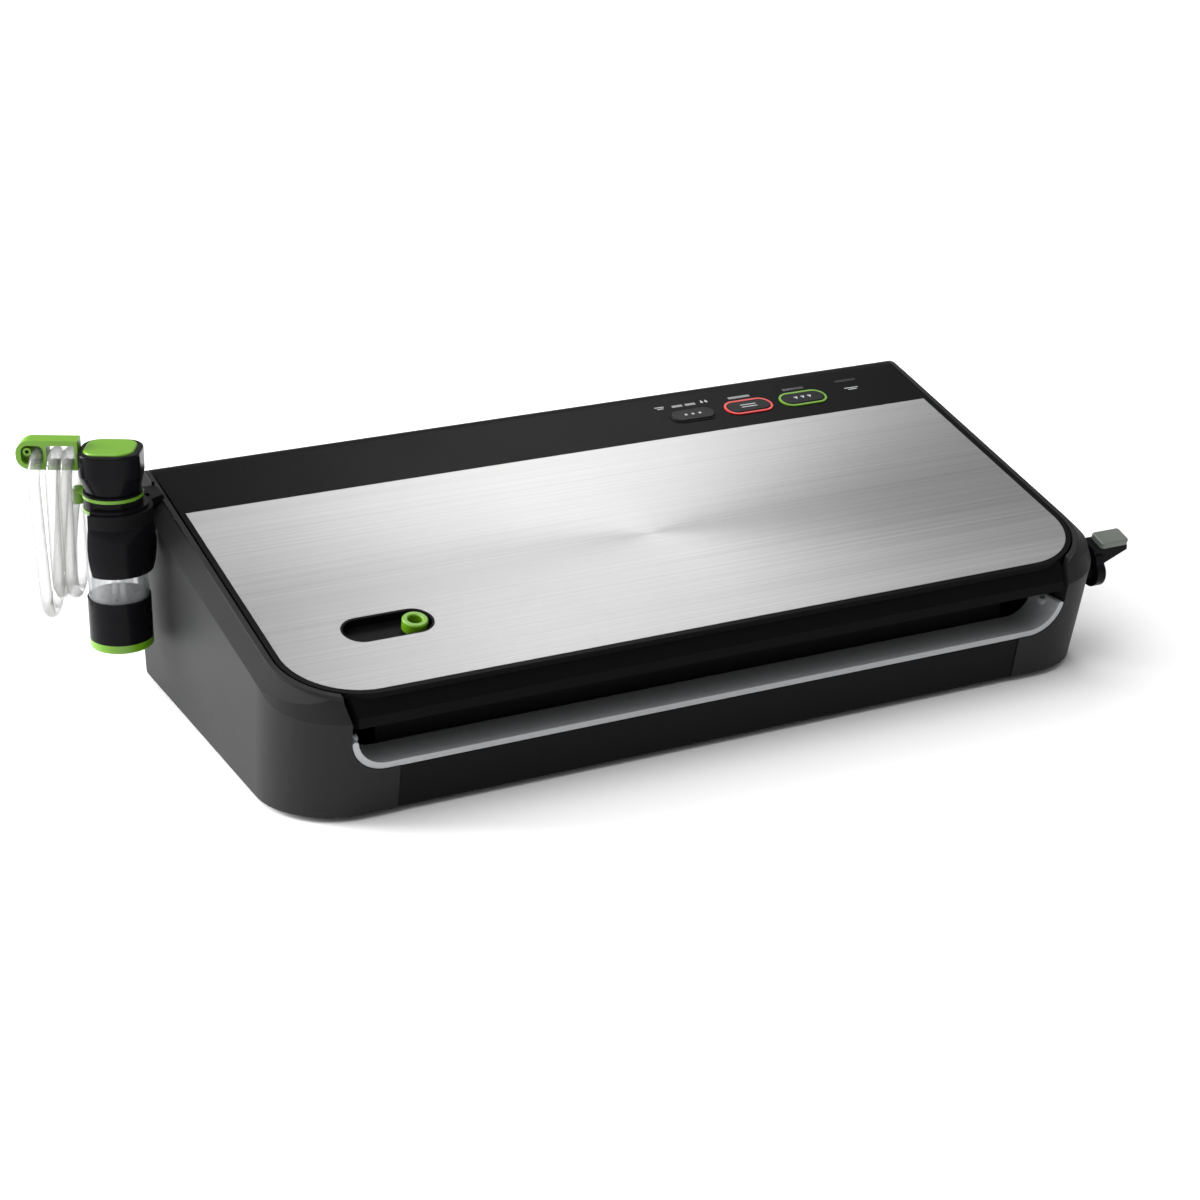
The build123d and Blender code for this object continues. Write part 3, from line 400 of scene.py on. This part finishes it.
def woven(name, color):
    finish = Finish(name, color, 0.5)
    warp, weft = (
        finish.node("ShaderNodeTexWave", {"bands_direction": way}, {"Vector": finish.place(), "Scale": 420})
        for way in ("X", "Y")
    )
    thread = warp * weft
    finish.feed("Base Color", finish.mixed(thread, shade(color, 0.6), shade(color, 1.25)))
    finish.feed("Roughness", 0.4 + thread * 0.2)
    finish.bump(thread, 0.5, 0.0002)
    return finish.material


def lacquered_board(name, color):
    finish = Finish(name, color, 0.35, Coat_Weight=0.3)
    tracks = finish.node("ShaderNodeTexBrick", None, {"Vector": finish.place(), "Scale": 260}, output="Fac")
    finish.feed("Base Color", finish.mixed(tracks, color, shade(color, 2.2)))
    finish.bump(tracks, 0.3, 0.0001)
    return finish.material


foam_black = foam("foam_black", (0.035, 0.035, 0.036))
rubber_black = moulded("rubber_black", (0.018, 0.018, 0.018), 0.62, grain=0.6, grain_scale=1800)
heater_tape = woven("heater_tape", (0.3, 0.17, 0.08))
board_green = lacquered_board("board_green", (0.01, 0.11, 0.04))
iron_core = moulded("iron_core", (0.09, 0.09, 0.1), 0.5, grain=0.5, Metallic=0.8)
print(len(bpy.data.materials), "finishes in all")

# %% [markdown]
# ## Dressing the carried-over pieces
# Each piece keeps its shape and gets its finish. A list per finish is easy to read and to change.

# %% Which piece is made of what
dressing = {
    charcoal: ["base_shell"],
    lid_black: ["lid_shell", "port_inset"],
    satin_black: ["bottom_cover", "front_panel", "inner_deck", "lid_liner", "tool_holder", "port_tube",
                  "pump_body", "cord_gland", "food_surround", "latch_catch", "latch_shaft", "latch_hook"],
    button_black: ["food_button", "seal_button", "vac_button"],
    gloss_black: ["latch_lever", "tool_cradle", "tool_head", "tool_neck", "tool_tip"],
    tray_grey: ["bag_tray", "drip_tray"],
    pad_grey: ["latch_pad"],
    lime: ["tool_button", "tool_bands", "tip_ring", "hose_adapter", "hose_barb",
           "vac_ring", "port_fitting"],
    ring_red: ["seal_ring"],
    lamp_dark: ["led_windows"],
    steel: ["steel_plate"],
    bright_steel: ["bottom_screws", "lid_screws", "hinge_pins", "heating_strip"],
    seal_aluminium: ["seal_bar", "pump_motor"],
    chamber_clear: ["tool_chamber", "tool_inner_tube"],
    foam_black: ["lower_gasket", "upper_gasket"],
    rubber_black: ["feet", "pump_hose", "pressure_strip"],
    heater_tape: ["heater_tape"],
    board_green: ["power_board", "button_board"],
    iron_core: ["transformer"],
}


def dress(piece, material):
    piece.data.materials.clear()
    piece.data.materials.append(material)


for material, names in dressing.items():
    for name in names:
        dress(nodes[name], material)
dress(hose, hose_clear)
dressed = {name for names in dressing.values() for name in names}
print("undressed:", sorted(set(nodes) - dressed - {"hose_coil", "hose_loop"}))

# %% [markdown]
# ## Printed marks
# The strip and the buttons are explained by small pale marks. Print is ink a few hundredths of a
# millimetre thick, so each mark is a thin plate laid on the surface: bars, dots, drops and arrows
# made from short outlines in the lid's plane. They say nothing, and only stand for such a print.
# A mark on a button rides with that button, so it goes down when the button is pressed.

# %% Ink
ink = moulded("print_ink", (0.4, 0.41, 0.41), 0.5, grain=0.2, clouds=0.04)
INK_THICK = 0.00005
INK_GAP = 0.00001
BUTTON_HIGH = 0.0009


def printed(name, outlines, body="lid", high=0.0):
    """Thin plates on the lid; every outline is a list of (across, up) points, in metres."""
    mesh = bpy.data.meshes.new(name)
    builder = bmesh.new()
    for outline in outlines:
        lower = [builder.verts.new(on_lid(a, u, high + INK_GAP)) for a, u in outline]
        upper = [builder.verts.new(on_lid(a, u, high + INK_THICK)) for a, u in outline]
        builder.faces.new(upper)
        builder.faces.new(lower[::-1])
        for i in range(len(outline)):
            j = (i + 1) % len(outline)
            builder.faces.new((lower[i], lower[j], upper[j], upper[i]))
    bmesh.ops.recalc_face_normals(builder, faces=builder.faces)
    builder.to_mesh(mesh)
    builder.free()
    piece = bpy.data.objects.new(name, mesh)
    bpy.context.scene.collection.objects.link(piece)
    dress(piece, ink)
    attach(piece, body)


# %% Outlines of the marks
DISC_STEPS = 20


def bar(a, u, long, wide):
    return [(a + x * long / 2, u + y * wide / 2) for x, y in ((-1, -1), (1, -1), (1, 1), (-1, 1))]


def disc(a, u, radius):
    turns = [2 * math.pi * i / DISC_STEPS for i in range(DISC_STEPS)]
    return [(a + radius * math.cos(t), u + radius * math.sin(t)) for t in turns]


def drop(a, u, size):
    """A drop of water: three quarters of a circle that runs up to a point."""
    turns = [math.radians(t) for t in range(150, 391, 20)]
    return [(a + size * math.cos(t), u + size * math.sin(t)) for t in turns] + [(a, u + size * 2.3)]


def arrow(a, u, size):
    return [(a - size, u + size), (a + size, u + size), (a, u - size)]


# %% The six marks
FOOD_AT, SEAL_AT, VAC_AT, POWER_AT = 0.0736, 0.1063, 0.1389, 0.1704
BAR_WIDE = 0.0007
TRIPLE = (-0.004, 0, 0.004)

dry = [bar(0.0600, LAMP_UP + up, long, BAR_WIDE) for up, long in ((0.0012, 0.0052), (-0.0004, 0.0034))]
moist = [drop(0.0845 + step, LAMP_UP + 0.0005, 0.0008) for step in (0, 0.0026)]
power = [bar(POWER_AT, BUTTON_UP + up, long, BAR_WIDE) for up, long in ((0.0033, 0.0082), (0.0018, 0.0052))]
food = [disc(FOOD_AT + step, BUTTON_UP, 0.0008) for step in TRIPLE]
seal = [bar(SEAL_AT, BUTTON_UP + step, 0.009, BAR_WIDE) for step in (-0.001, 0.001)]
vac = [arrow(VAC_AT + step, BUTTON_UP, 0.0012) for step in TRIPLE]
printed("mark_dry", dry)
printed("mark_moist", moist)
printed("mark_power", power)
printed("mark_food", food, "food_button", BUTTON_HIGH)
printed("mark_seal", seal, "seal_button", BUTTON_HIGH)
printed("mark_vac", vac, "vac_button", BUTTON_HIGH)
print("printed six marks")

# %% [markdown]
# ## Floor and light
# A pale seamless floor under a very soft, even light keeps the surroundings plain. Three lamps
# then shape the appliance: a key from the upper left, a large panel to the left and rear that
# lifts the left wall out of the dark and leaves the front deep, and a small one behind, whose glow
# spreads over the brushing of the steel.

# %% Floor
FLOOR_HALF = 6
floor_mesh = bpy.data.meshes.new("floor")
floor_corners = [(x * FLOOR_HALF, y * FLOOR_HALF, 0) for x, y in ((-1, -1), (1, -1), (1, 1), (-1, 1))]
floor_mesh.from_pydata(floor_corners, [], [(0, 1, 2, 3)])
floor = bpy.data.objects.new("floor", floor_mesh)
bpy.context.scene.collection.objects.link(floor)
paper = Finish("floor_paper", (0.93, 0.93, 0.93), 0.7)
paper.feed("Roughness", 0.65 + paper.noise(40, 3) * 0.1)
floor_mesh.materials.append(paper.material)

# %% Lamps
EVEN_WATTS_M2 = 2.2
EVEN_SPREAD = math.radians(60)
EVEN_WAY = Vector((0.4, -0.1, -1))
SKY_STRENGTH = 0.4


def toward(way):
    """The turn that points a lamp along a direction."""
    return way.to_track_quat("-Z", "Y").to_euler()


def soft_lamp(name, place, aim, wide, high, watts):
    data = bpy.data.lights.new(name, "AREA")
    data.shape = "RECTANGLE"
    data.size = wide
    data.size_y = high
    data.energy = watts
    lamp = bpy.data.objects.new(name, data)
    lamp.location = place
    lamp.rotation_euler = toward(Vector(aim) - Vector(place))
    bpy.context.scene.collection.objects.link(lamp)


soft_lamp("key", (-1.3, -1.0, 1.7), (0, 0, 0.05), 1.4, 1.0, 9)
soft_lamp("left_wall", (-1.5, 0.9, 0.6), (-0.2, 0, 0.06), 0.9, 0.9, 58)
soft_lamp("rear_glow", (0.55, 0.9, 1.1), (0.02, 0, 0.08), 0.45, 0.45, 2.6)

sun = bpy.data.lights.new("even_light", "SUN")
sun.energy = EVEN_WATTS_M2
sun.angle = EVEN_SPREAD
sun_lamp = bpy.data.objects.new("even_light", sun)
sun_lamp.rotation_euler = toward(EVEN_WAY)
bpy.context.scene.collection.objects.link(sun_lamp)

world = bpy.data.worlds.new("studio")
world.use_nodes = True
sky = world.node_tree.nodes["Background"].inputs
sky["Color"].default_value = (1, 1, 1, 1)
sky["Strength"].default_value = SKY_STRENGTH
bpy.context.scene.world = world
bpy.context.scene.view_settings.view_transform = "Standard"
print("studio is lit")
